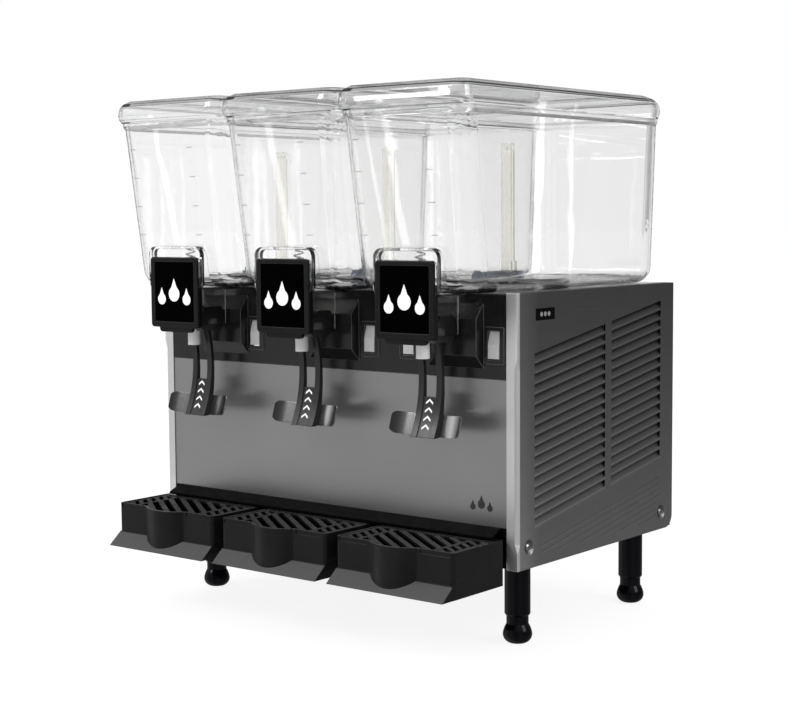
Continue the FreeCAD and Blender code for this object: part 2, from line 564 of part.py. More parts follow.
def make_bowl(bay):
    wall = BOWL_WALL
    outer = bowl_body(0.0, BOWL_BOTTOM, BOWL_RIM)
    boss = boss_profile(0.0, BOSS_LOW, BOSS_FRONT, -6.0)
    cheeks = []
    for side in (-1, 1):
        x0, x1 = sorted((side * (CHEEK_HALF - 2.5), side * CHEEK_HALF))
        cheeks.append(box(x0, x1, COVER_SEAT, CHEEK_REAR, CHEEK_LOW, BOSS_LOW + 3.0))
    apron = box(-CHEEK_HALF, CHEEK_HALF, COVER_SEAT, COVER_SEAT + 2.5, CHEEK_LOW, BOSS_LOW + 3.0)
    barrel = rod(0, VALVE_Y, 358.0, 11.0, BOSS_LOW - 358.0 + 3.0)
    inner = bowl_body(wall, BOWL_BOTTOM + wall + 0.6, RIM_TOP + 1.0)
    chamber = boss_profile(wall, BOSS_LOW + wall, COVER_SEAT + wall, -6.0 - wall)
    gap = 0.4
    cover_recess = plate_y(-COVER_HALF - gap, COVER_HALF + gap, COVER_LOW, COVER_HIGH + gap, 4.5 + gap,
                           BOSS_FRONT - 1, COVER_SEAT)
    shell = fuse([outer, bowl_rim(), boss, apron, barrel] + cheeks).cut([inner, chamber, cover_recess])
    spring_roof = box(-12, 12, BOSS_FRONT + 1.0, VALVE_Y + 8.0, BOSS_HIGH - wall, BOSS_HIGH)
    trunnions = rod(-CHEEK_HALF - 1, PIVOT_Y, PIVOT_Z, TRUNNION_R + RUNNING_FIT, 2 * CHEEK_HALF + 2, "x")
    bore = rod(0, VALVE_Y, 350.0, VALVE_R + RUNNING_FIT, BOSS_LOW - 350.0 + 10.0)
    floor_hole = rod(0, PUMP_Y, BOWL_BOTTOM - 2, FLOOR_HOLE_R, 10.0)
    body = fuse([shell, spring_roof]).cut([trunnions, bore, floor_hole])
    return body.translated(Vector(bay, 0, 0))


LID_LEVELS = [(585.4, 86.6, -83.8, 321.2, 21.0), (589.5, 87.05, -87.0, 323.0, 20.5),
              (594.0, 87.2, -87.7, 323.7, 19.5), (599.0, 87.0, -86.7, 322.3, 18.5),
              (604.0, 86.0, -84.6, 318.0, 17.0), (608.5, 83.5, -80.5, 309.5, 15.5),
              (612.0, 78.0, -73.0, 296.0, 12.0)]
LID_WALL = 2.6


def make_lid(bay):
    """Hollow lid with rolled edges, resting on the bowl's rim and located by a short lip."""
    w = LID_WALL
    outer = loft([slab(-half, half, front, rear, r, z) for z, half, front, rear, r in LID_LEVELS])
    hollow = loft([slab(-half + w, half - w, front + w, rear - w, r - w, z - (w if z > 606 else 0))
                   for z, half, front, rear, r in LID_LEVELS])
    low, seat_half, seat_front, seat_rear, seat_r = LID_LEVELS[0]
    half, front, rear = bowl_at(BOWL_RIM)

    def ring_block(gap, radius, z0, z1):
        return loft([slab(-half + gap, half - gap, front + gap, rear - gap, radius, z) for z in (z0, z1)])
    web = loft([slab(-seat_half + 1, seat_half - 1, seat_front + 1, seat_rear - 1, seat_r - 1, z)
                for z in (low, low + 2.0)])
    lip = ring_block(BOWL_WALL + 1.0, 18.0, low - 6.0, low + 2.0)
    mouth = ring_block(BOWL_WALL + 3.0, 16.0, low - 7.0, low + 3.0)
    ring = fuse([lip, web]).cut(mouth)
    return fuse([outer.cut(hollow), ring]).translated(Vector(bay, 0, 0))


def make_valve_cover(bay):
    """Snap-on cover plate over the valve, hollow behind, with a recessed label field."""
    plate = plate_y(-COVER_HALF, COVER_HALF, COVER_LOW, COVER_HIGH, 4.5, COVER_FRONT, COVER_SEAT)
    front_edges = [e for e in plate.Edges if e.BoundBox.YMax < COVER_FRONT + 0.01]
    plate = plate.makeFillet(1.4, front_edges)
    hollow = plate_y(-COVER_HALF + 2.5, COVER_HALF - 2.5, COVER_LOW + 2.5, COVER_HIGH - 2.5, 2.5,
                     COVER_FRONT + 2.8, COVER_SEAT + 1)
    label = plate_y(-33.4, 33.4, COVER_LOW + 6.5, COVER_HIGH - 5.0, 1.5, COVER_FRONT - 1, COVER_FRONT + 0.5)
    skirt = plate_y(-27.5, 27.5, COVER_LOW - 5.5, COVER_LOW + 6.0, 4.5, COVER_FRONT + 2.0, COVER_SEAT)
    return fuse([plate.cut([hollow, label]), skirt]).translated(Vector(bay, 0, 0))


ARM_IN, ARM_OUT = 8.4, 16.0
HUB_HALF = 24.6


def lever_arm_outline():
    """Curved arms seen from the side, between two arcs."""
    front = [Vector(0, -35.5, 342), Vector(0, -28.6, 286), Vector(0, -43.5, LEVER_LOW)]
    rear = [Vector(0, -31.5, LEVER_LOW), Vector(0, -23.6, 286), Vector(0, -30.5, 342)]
    edges = [Part.Arc(*front), Part.LineSegment(front[2], rear[0]),
             Part.Arc(*rear), Part.LineSegment(rear[2], front[0])]
    return Part.Face(Part.Wire([edge.toShape() for edge in edges]))


PAD_FLAT, PAD_HEIGHT = 20.0, 24.5


def tilted_to_pad(shape):
    """Lean a shape drawn upright at the origin into the pad's place on the lever."""
    shape.rotate(Vector(0, 0, 0), Vector(1, 0, 0), -PAD_TILT)
    return shape.translated(Vector(0, -33.2, LEVER_LOW + 0.2))


def make_push_pad(bay):
    """Push pad: flat in the middle, its ends swept forward, corners rounded."""
    reach, flat, sweep, thickness = 47.5, PAD_FLAT, 8.5, 1.5
    low, high = 0.0, PAD_HEIGHT
    half_reach = (reach + flat) / 2

    def side(sign, offset):
        start = Vector(sign * flat, offset, low)
        middle = Vector(sign * half_reach, offset - sweep * 0.27, low)
        end = Vector(sign * reach, offset - sweep, low)
        return start, middle, end
    rs, rm, re = side(1, 0.0)
    ls, lm, le = side(-1, 0.0)
    bs, bm, be = side(1, -thickness)
    cs, cm, ce = side(-1, -thickness)
    edges = [Part.Arc(le, lm, ls), Part.LineSegment(ls, rs), Part.Arc(rs, rm, re), Part.LineSegment(re, be),
             Part.Arc(be, bm, bs), Part.LineSegment(bs, cs), Part.Arc(cs, cm, ce), Part.LineSegment(ce, le)]
    outline = Part.Wire([edge.toShape() for edge in edges])
    strip = Part.Face(outline).extrude(Vector(0, 0, high - low))
    rounder = plate_y(-reach - 1, reach + 1, low, high, 8.0, -30, 10)
    return tilted_to_pad(strip.common(rounder)).translated(Vector(bay, 0, 0))


def make_lever(bay):
    """Yoke on two trunnions, twin curved arms, label plate and the two pegs that lift the piston."""
    hub_outline = [(PIVOT_Y, PIVOT_Z + 5.0), (-42, 366), (-22, 366), (-17.5, 361), (-17.5, 342), (-22, 337),
                   (-47, 337), (PIVOT_Y, PIVOT_Z - 5.0)]
    hub = prism_x(hub_outline, -HUB_HALF, HUB_HALF)
    barrel = rod(-HUB_HALF, PIVOT_Y, PIVOT_Z, 5.4, 2 * HUB_HALF, "x")
    trunnion = rod(-CHEEK_HALF + 0.2, PIVOT_Y, PIVOT_Z, TRUNNION_R, 2 * CHEEK_HALF - 0.4, "x")
    slot = box(-11.7, 11.7, VALVE_Y - 12.0, 0, 330, 375)
    outline = lever_arm_outline()
    arms = []
    for x0 in (-ARM_OUT, ARM_IN):
        arms.append(outline.translated(Vector(x0, 0, 0)).extrude(Vector(ARM_OUT - ARM_IN, 0, 0)))
    web = outline.translated(Vector(-ARM_IN - 0.5, 0, 0)).extrude(Vector(2 * ARM_IN + 1, 0, 0))
    web = web.translated(Vector(0, 1.2, 0)).common(box(-20, 20, -60, 0, LEVER_LOW, 277))
    hub = fuse([hub, barrel]).cut(slot)
    pegs = [rod(-12.2, VALVE_Y, PIVOT_Z, 2.2, 5.8, "x"), rod(6.4, VALVE_Y, PIVOT_Z, 2.2, 5.8, "x")]
    lever = fuse([hub, trunnion, web] + arms + pegs)
    pad_seat = tilted_to_pad(box(-PAD_FLAT, PAD_FLAT, -1.5, 15.0, -10.0, PAD_HEIGHT))
    return lever.cut(pad_seat).translated(Vector(bay, 0, 0))


PISTON_TOP = 384.0


def make_piston(bay):
    """Valve piston: outlet nozzle, groove for the lever pegs, sealing body and spring stem."""
    r = VALVE_R
    profile = [(5.4, 319.6), (7.5, 319.6), (7.5, 342.0), (r, 343.0), (r, 347.2), (5.9, 347.2), (5.9, 352.8),
               (r, 352.8), (r, 356.0), (r - 0.8, 356.0), (r - 0.8, 358.0), (r, 358.0), (r, PISTON_TOP),
               (3.0, PISTON_TOP), (3.0, 426.0), (0, 426.0), (0, 345.0), (5.4, 340.0)]
    return turned(profile, bay, VALVE_Y)


def make_valve_spring(bay):
    """Closed coil between the piston and the roof of the valve chamber."""
    low, high, turns, radius, wire_r = PISTON_TOP + 1.2, BOSS_HIGH - BOWL_WALL - 1.2, 7.5, 5.2, 0.8
    pitch = (high - low) / turns
    helix = Part.makeHelix(pitch, high - low, radius)
    section = Part.Wire([Part.Circle(Vector(radius, 0, 0), Vector(0, 1, 0), wire_r).toShape()])
    coil = Part.Wire(helix.Edges).makePipeShell([section], True, True)
    return coil.translated(Vector(bay, VALVE_Y, low))


# ---------------------------------------------------------------- drip trays

GRID_TOP = 125.4
GRID_THICK = 2.8
GRID_REAR = -20.5              # the grid ends in front of the sill, so that it lifts straight out
LEDGE_Z = GRID_TOP - GRID_THICK - 0.3


def bulge_prism(inset, z0, z1):
    """Round-fronted swelling in the middle of the tray's front wall."""
    radius = (BULGE_HALF ** 2 + BULGE_RISE ** 2) / (2 * BULGE_RISE)
    centre_y = TRAY_FRONT - BULGE_RISE + radius
    drum = rod(0, centre_y, z0, radius - inset, z1 - z0)
    return drum.common(box(-60, 60, TRAY_FRONT - 40, TRAY_FRONT + 5 + inset, z0, z1))


def tray_outline(inset, z0, z1, rear):
    half = TRAY_HALF - inset
    corner = max(5.0 - inset, 1.5)
    return loft([slab(-half, half, TRAY_FRONT + inset, rear, corner, z) for z in (z0, z1)])


def flare_block(inset):
    """Wedge that flares forward below the front wall; inset draws the hollow behind it."""
    half = TRAY_HALF - 1.0 - inset
    outline = [(TRAY_FRONT + 10, FLARE_TOP - inset), (TRAY_FRONT, FLARE_TOP - inset),
               (FLARE_FRONT + inset, TRAY_LOW), (TRAY_FRONT + 10, TRAY_LOW)]
    return prism_x(outline, -half, half)


def make_drip_tray(bay):
    wall = TRAY_WALL
    outer = fuse([tray_outline(0, TRAY_LOW, TRAY_TOP, TRAY_REAR), bulge_prism(0, TRAY_LOW, TRAY_TOP),
                  flare_block(0)])
    basin_wall = wall + 1.8
    basin = fuse([tray_outline(basin_wall, TRAY_FLOOR + wall, TRAY_TOP + 1, TRAY_REAR - basin_wall),
                  bulge_prism(basin_wall, TRAY_FLOOR + wall, TRAY_TOP + 1)])
    deck = box(-TRAY_HALF, TRAY_HALF, GRID_REAR - 2.0, TRAY_REAR, LEDGE_Z - 2.0, TRAY_TOP + 2)
    basin = basin.cut(deck)
    seat = fuse([tray_outline(wall, LEDGE_Z, TRAY_TOP + 1, GRID_REAR + 0.4),
                 bulge_prism(wall, LEDGE_Z, TRAY_TOP + 1)])
    inner = TRAY_HALF - wall
    under = box(-inner, inner, TRAY_FRONT + wall, TRAY_REAR + 1, TRAY_LOW - 1, TRAY_FLOOR)
    under_bulge = bulge_prism(wall, TRAY_LOW - 1, TRAY_FLOOR)
    under_flare = flare_block(wall).translated(Vector(0, 0, -0.6))
    cutters = [basin, seat, under, under_bulge, under_flare]
    seam = [(TRAY_FRONT - 25, 92.0), (TRAY_REAR + 1, 104.4), (TRAY_REAR + 1, TRAY_LOW - 1),
            (TRAY_FRONT - 25, TRAY_LOW - 1)]
    for side in (-1, 1):
        x0, x1 = sorted((side * (TRAY_HALF - 0.6), side * (TRAY_HALF + 1)))
        cutters.append(prism_x(seam, x0, x1))
        x0, x1 = sorted((side * (BULGE_HALF + 4), side * (TRAY_HALF - 4)))
        cutters.append(box(x0, x1, TRAY_FRONT - 1, TRAY_FRONT + 1.2, TRAY_TOP - 5.0, TRAY_TOP + 1))
    return outer.cut(cutters).translated(Vector(bay, 0, 0))


SLOT_ANGLE = -37.0
SLOT_WIDTH, SLOT_PITCH = 7.6, 14.0
ROW_IN, ROW_OUT = 54.0, 72.0
FIELD_HALF = 49.0


def slanted_bars(length, width, pitch, count):
    """Set of parallel strips through the origin, all turned to the grille's slant."""
    bars = []
    for index in range(-count, count + 1):
        bar = box(-length, length, index * pitch - width / 2, index * pitch + width / 2, 100, 140)
        bars.append(bar)
    group = Part.makeCompound(bars)
    group.rotate(Vector(0, 0, 0), Vector(0, 0, 1), SLOT_ANGLE)
    return group.translated(Vector(0, (TRAY_FRONT + TRAY_REAR) / 2, 0))


def make_drip_grid(bay):
    """Lift-out grille: slanted slots in the middle and a row of short ones along each side."""
    gap = TRAY_WALL + 0.4
    low, high = GRID_TOP - GRID_THICK, GRID_TOP
    plate = fuse([tray_outline(gap, low, high, GRID_REAR), bulge_prism(gap, low, high)])
    front_room = TRAY_FRONT + gap + 4
    rear_room = GRID_REAR - 5
    field = box(-FIELD_HALF, FIELD_HALF, front_room, rear_room, low - 1, high + 1)
    field = fuse([field, bulge_prism(gap + 4, low - 1, high + 1)])
    rows = [box(x0, x0 + ROW_OUT - ROW_IN, front_room, rear_room, low - 1, high + 1)
            for x0 in (ROW_IN, -ROW_OUT)]
    long_slots = slanted_bars(120, SLOT_WIDTH, SLOT_PITCH, 8).common(field)
    short_slots = slanted_bars(120, 5.4, 10.6, 10).common(Part.makeCompound(rows))
    return plate.cut([long_slots, short_slots]).translated(Vector(bay, 0, 0))


# ---------------------------------------------------------------- write every sub-part


def main():
    os.makedirs("parts", exist_ok=True)
    right_side = make_side_panel()
    save("side_panel_right", right_side)
    save("side_panel_left", right_side.mirror(Vector(0, 0, 0), Vector(1, 0, 0)))
    save("panel_screws", make_panel_screws())
    save("base_pan", make_base_pan())
    save("front_panel", make_front_panel())
    save("control_fascia", make_fascia())
    save("rear_panel", make_rear_panel())
    save("top_deck", make_top_deck())
    save("leg_sleeves", make_leg_sleeves())
    for name, (x, y) in leg_places().items():
        save("foot_" + name, make_foot(x, y))
    for name, x in SWITCH_X.items():
        save("rocker_" + name, make_rocker(x))
    save("compressor", make_compressor())
    save("condenser", make_condenser())
    save("fan_motor", make_fan_motor())
    save("fan_blade", make_fan_blade())
    save("pump_motors", Part.makeCompound([make_pump_motor(bay) for bay in BAYS.values()]))
    save("cold_plates", Part.makeCompound([make_cold_plate(bay) for bay in BAYS.values()]))
    save("bowl_gaskets", Part.makeCompound([make_gasket(bay) for bay in BAYS.values()]))
    per_bay = {"drive_magnet": make_drive_magnet, "impeller": make_impeller, "spray_tube": make_spray_tube,
               "bowl": make_bowl, "lid": make_lid, "valve_cover": make_valve_cover, "lever": make_lever,
               "push_pad": make_push_pad, "valve_piston": make_piston, "valve_spring": make_valve_spring,
               "drip_tray": make_drip_tray, "drip_grid": make_drip_grid}
    for name, bay in BAYS.items():
        for piece, make in per_bay.items():
            save(piece + "_" + name, make(bay))


main()
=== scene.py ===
import json
import math

import bpy
from mathutils import Matrix, Vector


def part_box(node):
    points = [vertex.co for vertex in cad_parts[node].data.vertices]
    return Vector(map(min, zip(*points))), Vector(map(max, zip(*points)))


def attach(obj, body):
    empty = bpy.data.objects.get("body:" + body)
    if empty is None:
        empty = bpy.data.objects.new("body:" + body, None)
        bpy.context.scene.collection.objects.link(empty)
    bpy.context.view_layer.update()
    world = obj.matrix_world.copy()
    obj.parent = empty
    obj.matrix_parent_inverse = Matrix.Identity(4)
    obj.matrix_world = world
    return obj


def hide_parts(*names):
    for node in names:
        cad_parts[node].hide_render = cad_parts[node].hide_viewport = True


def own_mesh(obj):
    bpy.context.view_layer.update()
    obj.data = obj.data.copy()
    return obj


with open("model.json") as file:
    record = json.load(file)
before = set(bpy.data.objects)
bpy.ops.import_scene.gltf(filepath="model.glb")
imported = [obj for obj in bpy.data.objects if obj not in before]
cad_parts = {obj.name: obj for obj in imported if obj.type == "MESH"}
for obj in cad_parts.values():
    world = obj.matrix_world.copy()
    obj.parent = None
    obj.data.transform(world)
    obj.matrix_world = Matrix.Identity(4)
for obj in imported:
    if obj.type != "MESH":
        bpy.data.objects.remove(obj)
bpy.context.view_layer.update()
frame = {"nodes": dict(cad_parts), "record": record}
NODES = frame["nodes"]
SCENE = bpy.context.scene
BAY_PITCH = 0.175
BAYS = {"left": -BAY_PITCH, "centre": 0.0, "right": BAY_PITCH}
FRONT = -0.110                  # where the cabinet's front face lies
WHITE = (1.0, 1.0, 1.0)


# ---------------------------------------------------------------- node helpers


class Shader:
    """A material with one Principled node, and short ways to add texture to it."""

    def __init__(self, name, colour, roughness, metallic=0.0, **sockets):
        self.material = bpy.data.materials.new(name)
        self.material.use_nodes = True
        self.tree = self.material.node_tree
        self.bsdf = self.tree.nodes["Principled BSDF"]
        self.bsdf.inputs["Base Color"].default_value = (*colour, 1.0)
        self.bsdf.inputs["Roughness"].default_value = roughness
        self.bsdf.inputs["Metallic"].default_value = metallic
        for key, value in sockets.items():
            self.bsdf.inputs[key.replace("_", " ")].default_value = value
        self.coords = self.node("ShaderNodeTexCoord").outputs["Object"]
        self.colour = None          # the socket that feeds the base colour, once there is one

    def node(self, kind, inputs=None, **properties):
        made = self.tree.nodes.new(kind)
        for key, value in properties.items():
            setattr(made, key, value)
        for key, value in (inputs or {}).items():
            if isinstance(value, bpy.types.NodeSocket):
                self.tree.links.new(value, made.inputs[key])
            else:
                made.inputs[key].default_value = value
        return made

    def math(self, operation, first, second=0.0):
        return self.node("ShaderNodeMath", {0: first, 1: second}, operation=operation).outputs[0]

    def add(self, first, second):
        return self.math("ADD", first, second)

    def minus(self, first, second):
        return self.math("SUBTRACT", first, second)

    def times(self, first, second):
        return self.math("MULTIPLY", first, second)

    def stretched(self, scale):
        """Object coordinates scaled per axis, in turns per metre."""
        return self.node("ShaderNodeMapping", {"Vector": self.coords, "Scale": scale}).outputs["Vector"]

    def noise(self, scale, detail=3.0, vector=None):
        inputs = {"Vector": self.coords if vector is None else vector, "Scale": scale, "Detail": detail}
        return self.node("ShaderNodeTexNoise", inputs).outputs["Fac"]

    def spread(self, value, low, high, start=0.3, end=0.7):
        """A texture value mapped to low..high."""
        inputs = {"Value": value, "From Min": start, "From Max": end, "To Min": low, "To Max": high}
        return self.node("ShaderNodeMapRange", inputs).outputs["Result"]

    def tint(self, value, dark, light):
        ramp = self.node("ShaderNodeValToRGB", {"Fac": value})
        ramp.color_ramp.elements[0].position = 0.3
        ramp.color_ramp.elements[1].position = 0.7
        ramp.color_ramp.elements[0].color = (*dark, 1.0)
        ramp.color_ramp.elements[1].color = (*light, 1.0)
        self.tree.links.new(ramp.outputs["Color"], self.bsdf.inputs["Base Color"])
        return ramp.outputs["Color"]

    def over(self, mask, below, colour):
        """Lay a flat colour over the base colour where mask is 1."""
        mixed = self.node("ShaderNodeMix", data_type="RGBA")
        self.tree.links.new(mask, mixed.inputs[0])
        self.tree.links.new(below, mixed.inputs[6])
        mixed.inputs[7].default_value = (*colour, 1.0)
        self.tree.links.new(mixed.outputs[2], self.bsdf.inputs["Base Color"])
        return mixed.outputs[2]

    def axes(self):
        return self.node("ShaderNodeSeparateXYZ", {0: self.coords}).outputs

    def band(self, value, low, high, soft=0.0002):
        """1 between low and high, 0 outside, with a soft edge."""
        up = self.spread(value, 0.0, 1.0, low - soft, low + soft)
        down = self.spread(value, 1.0, 0.0, high - soft, high + soft)
        return self.times(up, down)

    def scale_colour(self, level):
        """Base colour multiplied by a texture value."""
        inputs = {0: self.colour, "Scale": level}
        scaled = self.node("ShaderNodeVectorMath", inputs, operation="SCALE").outputs[0]
        self.tree.links.new(scaled, self.bsdf.inputs["Base Color"])
        return scaled

    def rounded(self, radius):
        """Surface normal as if every sharp edge were rounded."""
        return self.node("ShaderNodeBevel", {"Radius": radius}, samples=6).outputs["Normal"]

    def near_edge(self, radius):
        """1 within about radius of a sharp edge, 0 elsewhere."""
        flat = self.node("ShaderNodeNewGeometry").outputs["Normal"]
        inputs = {0: self.rounded(radius), 1: flat}
        agree = self.node("ShaderNodeVectorMath", inputs, operation="DOT_PRODUCT").outputs["Value"]
        return self.spread(agree, 1.0, 0.0, 0.80, 0.97)

    def rough(self, value):
        self.tree.links.new(value, self.bsdf.inputs["Roughness"])

    def bump(self, height, strength, distance, edge=0.0):
        """Fine relief, and with edge a rounding of that radius along every sharp edge."""
        inputs = {"Height": height, "Strength": strength, "Distance": distance}
        if edge:
            inputs["Normal"] = self.rounded(edge)
        made = self.node("ShaderNodeBump", inputs)
        self.tree.links.new(made.outputs["Normal"], self.bsdf.inputs["Normal"])


def shade(level):
    return (level, level, level)


def moulded(name, level, roughness, grain=900.0, depth=0.00006, tone=0.2, specular=0.5, colour=None,
            edge=0.0, edge_highlight=None):
    """Moulded plastic: fine skin texture, slightly uneven gloss, and a painted highlight of the given shade
    along its edges, if one is given.
    """
    hue = colour or WHITE
    made = Shader(name, shade(level), roughness, Specular_IOR_Level=specular)
    dark = tuple(level * (1 - tone) * c for c in hue)
    light = tuple(level * (1 + tone) * c for c in hue)
    colour = made.tint(made.noise(35.0, 4.0), dark, light)
    # painted highlight: a pale band along the sharp edges
    if edge_highlight:
        made.over(made.near_edge(edge), colour, shade(edge_highlight))
    made.rough(made.spread(made.noise(60.0, 4.0), roughness - 0.06, roughness + 0.06))
    made.bump(made.noise(grain, 2.0), 0.35, depth, edge)
    return made.material


def painted(name, level, roughness):
    """Baked paint on sheet steel, with a very fine orange peel."""
    made = Shader(name, shade(level), roughness, 0.35)
    made.tint(made.noise(14.0, 4.0), shade(level * 0.9), shade(level * 1.1))
    made.rough(made.spread(made.noise(45.0, 3.0), roughness - 0.04, roughness + 0.05))
    made.bump(made.noise(420.0, 2.0), 0.15, 0.00008)
    return made.material


def brushed(name, level, roughness, grain_axis, tone=0.12, anisotropy=0.0, edge=0.0):
    """Sheet steel brushed along one axis: long fine scratches that spread the reflections."""
    made = Shader(name, shade(level), roughness, 1.0, Anisotropic=anisotropy)
    scale = [2600.0, 2600.0, 2600.0]
    scale[grain_axis] = 14.0
    grain = made.noise(1.0, 3.0, made.stretched(scale))
    cloud = made.noise(9.0, 3.0)
    half = made.times(made.add(grain, cloud), 0.5)
    made.colour = made.tint(half, shade(level * (1 - tone)), shade(level * (1 + tone)))
    made.rough(made.spread(grain, roughness - 0.06, roughness + 0.06))
    made.bump(grain, 0.15, 0.00003, edge)
    return made


OUTLINE_WIDTH = 0.0016


def clear(name, tint, edge, roughness=0.015, power=3.0, wave=0.001, outline=None):
    """Clear plastic with painted shade: darker where one looks along a wall, and along sharp edges if
    outline is given.
    """
    made = Shader(name, tint, roughness, Transmission_Weight=1.0, IOR=1.49)
    # painted shade: the tint darkens where a wall is seen edge-on
    facing = made.node("ShaderNodeLayerWeight", {"Blend": 0.5}).outputs["Facing"]
    graze = made.math("POWER", facing, power)
    ramp = made.tint(graze, tint, edge)
    ramp.node.color_ramp.elements[0].position = 0.0
    ramp.node.color_ramp.elements[1].position = 0.9
    made.bump(made.noise(14.0, 2.0), 0.12, wave)
    made.colour = ramp
    # painted shade along sharp edges
    if outline:
        made.colour = made.over(made.near_edge(OUTLINE_WIDTH), ramp, shade(outline))
    return made


def from_bay(made, x):
    """Signed distance sideways from the middle of the nearest bay."""
    nearest = made.math("ROUND", made.math("DIVIDE", x, BAY_PITCH))
    return made.minus(x, made.times(nearest, BAY_PITCH))


TRAY_WALL_Y, TRAY_WALL_FOOT = FRONT - 0.095, 0.091     # the tray's front wall, and where its flare begins
FLARE_SLOPE = 1.2                                      # forward run of the flare per metre of drop


def tray_plastic():
    """Black moulding, with painted light that makes the upward-facing flared plates below its front wall
    greyer.
    """
    made = Shader("tray_plastic", shade(0.006), 0.32, Specular_IOR_Level=0.18)
    x, y, z = made.axes()
    base = made.tint(made.noise(35.0, 4.0), shade(0.005), shade(0.007))
    offset = made.minus(y, made.times(z, FLARE_SLOPE))
    on_flare = TRAY_WALL_Y - FLARE_SLOPE * TRAY_WALL_FOOT
    painted_light_flare = made.band(offset, on_flare - 0.0006, on_flare + 0.0006)
    ahead = made.spread(y, 1.0, 0.0, TRAY_WALL_Y - 0.0010, TRAY_WALL_Y - 0.0004)
    # painted light: the flare plates, which face up, lighter than the rest
    made.over(made.times(painted_light_flare, ahead), base, shade(0.062))
    made.rough(made.spread(made.noise(60.0, 4.0), 0.26, 0.38))
    made.bump(made.noise(900.0, 2.0), 0.35, 0.00006, 0.0012)
    return made.material


def pad_steel():
    """Polished pad with a painted reflection: toned darker towards its left end and lighter on the right of
    the lever.
    """
    made = brushed("pad_polished_steel", 0.42, 0.16, 0, 0.05, edge=0.0005)
    across = from_bay(made, made.axes()[0])
    # painted reflection: dark towards the left end, light just right of the lever
    left = made.spread(across, 0.25, 1.0, -0.040, -0.004)
    right = made.spread(across, 0.0, 0.5, 0.006, 0.016)
    made.scale_colour(made.add(left, right))
    return made.material


TUBE_FOOT_LOW, TUBE_FOOT_HIGH = 0.4085, 0.4105         # heights between which the foot's blue fades out


def tube_plastic():
    """Milky plastic of the spray tube, bluish and darker at its foot."""
    made = clear("tube_plastic", (0.985, 0.975, 0.935), (0.22, 0.22, 0.24), 0.12, wave=0.0001)
    low = made.spread(made.axes()[2], 1.0, 0.0, TUBE_FOOT_LOW, TUBE_FOOT_HIGH)
    made.over(low, made.colour, (0.30, 0.34, 0.42))
    return made.material


MATERIALS = {}


SIDE_X = 0.270                                         # outer face of the side panels
BADGE_Y, BADGE_Z = FRONT + 0.0525, 0.366               # middle of the small badge on the right side
BADGE_HALF_Y, BADGE_HALF_Z = 0.0185, 0.0065


def painted_side_shading(made, x, y, z):
    """How light the side steel is painted: painted light on the front return, with a painted highlight near
    its outer edge and more towards its foot; painted shade in the louvres and towards the top; painted light
    near the front.
    """
    out = made.math("ABSOLUTE", x)
    # painted shade: the louvre slats and the shallow ribs darker the deeper they lie
    slats = made.spread(out, 0.26, 0.55, SIDE_X - 0.0072, SIDE_X - 0.0008)
    skin = made.spread(out, 0.0, 0.45, SIDE_X - 0.0008, SIDE_X - 0.0001)
    # painted shade towards the top, painted light near the front
    height = made.spread(z, 0.92, 0.44, 0.10, 0.38)
    near_front = made.spread(y, 1.5, 1.0, FRONT + 0.010, FRONT + 0.040)
    side = made.times(made.times(made.add(slats, skin), height), near_front)
    # painted light on the front return: a painted highlight by its outer edge, and brighter towards its foot
    outer_edge = made.spread(out, 2.5, 3.3, SIDE_X - 0.0034, SIDE_X - 0.0020)
    foot = made.spread(z, 1.4, 1.0, 0.105, 0.150)
    post = made.spread(y, 1.0, 0.0, FRONT + 0.0036, FRONT + 0.0046)
    return made.add(made.times(post, made.times(outer_edge, foot)), made.times(made.minus(1.0, post), side))


def side_steel():
    """Satin steel of the sides, with painted light and shade, and a small dark badge that carries three
    dots.
    """
    made = brushed("side_satin_steel", 0.36, 0.42, 1, 0.08, edge=0.0008)
    x, y, z = made.axes()
    # the painted light and shade above, laid on the steel's colour
    scaled = made.scale_colour(painted_side_shading(made, x, y, z))
    right = made.spread(x, 0.0, 1.0, SIDE_X - 0.0010, SIDE_X - 0.0005)
    plate = made.times(made.band(y, BADGE_Y - BADGE_HALF_Y, BADGE_Y + BADGE_HALF_Y),
                       made.band(z, BADGE_Z - BADGE_HALF_Z, BADGE_Z + BADGE_HALF_Z))
    below = made.over(made.times(plate, right), scaled, shade(0.004))
    for index in (-1, 0, 1):
        dy = made.minus(y, BADGE_Y + 0.0072 * index)
        dz = made.minus(z, BADGE_Z)
        reach = made.math("SQRT", made.add(made.times(dy, dy), made.times(dz, dz)))
        dot = made.times(made.spread(reach, 1.0, 0.0, 0.0024, 0.0028), right)
        below = made.over(dot, below, shade(0.8))
    return made.material


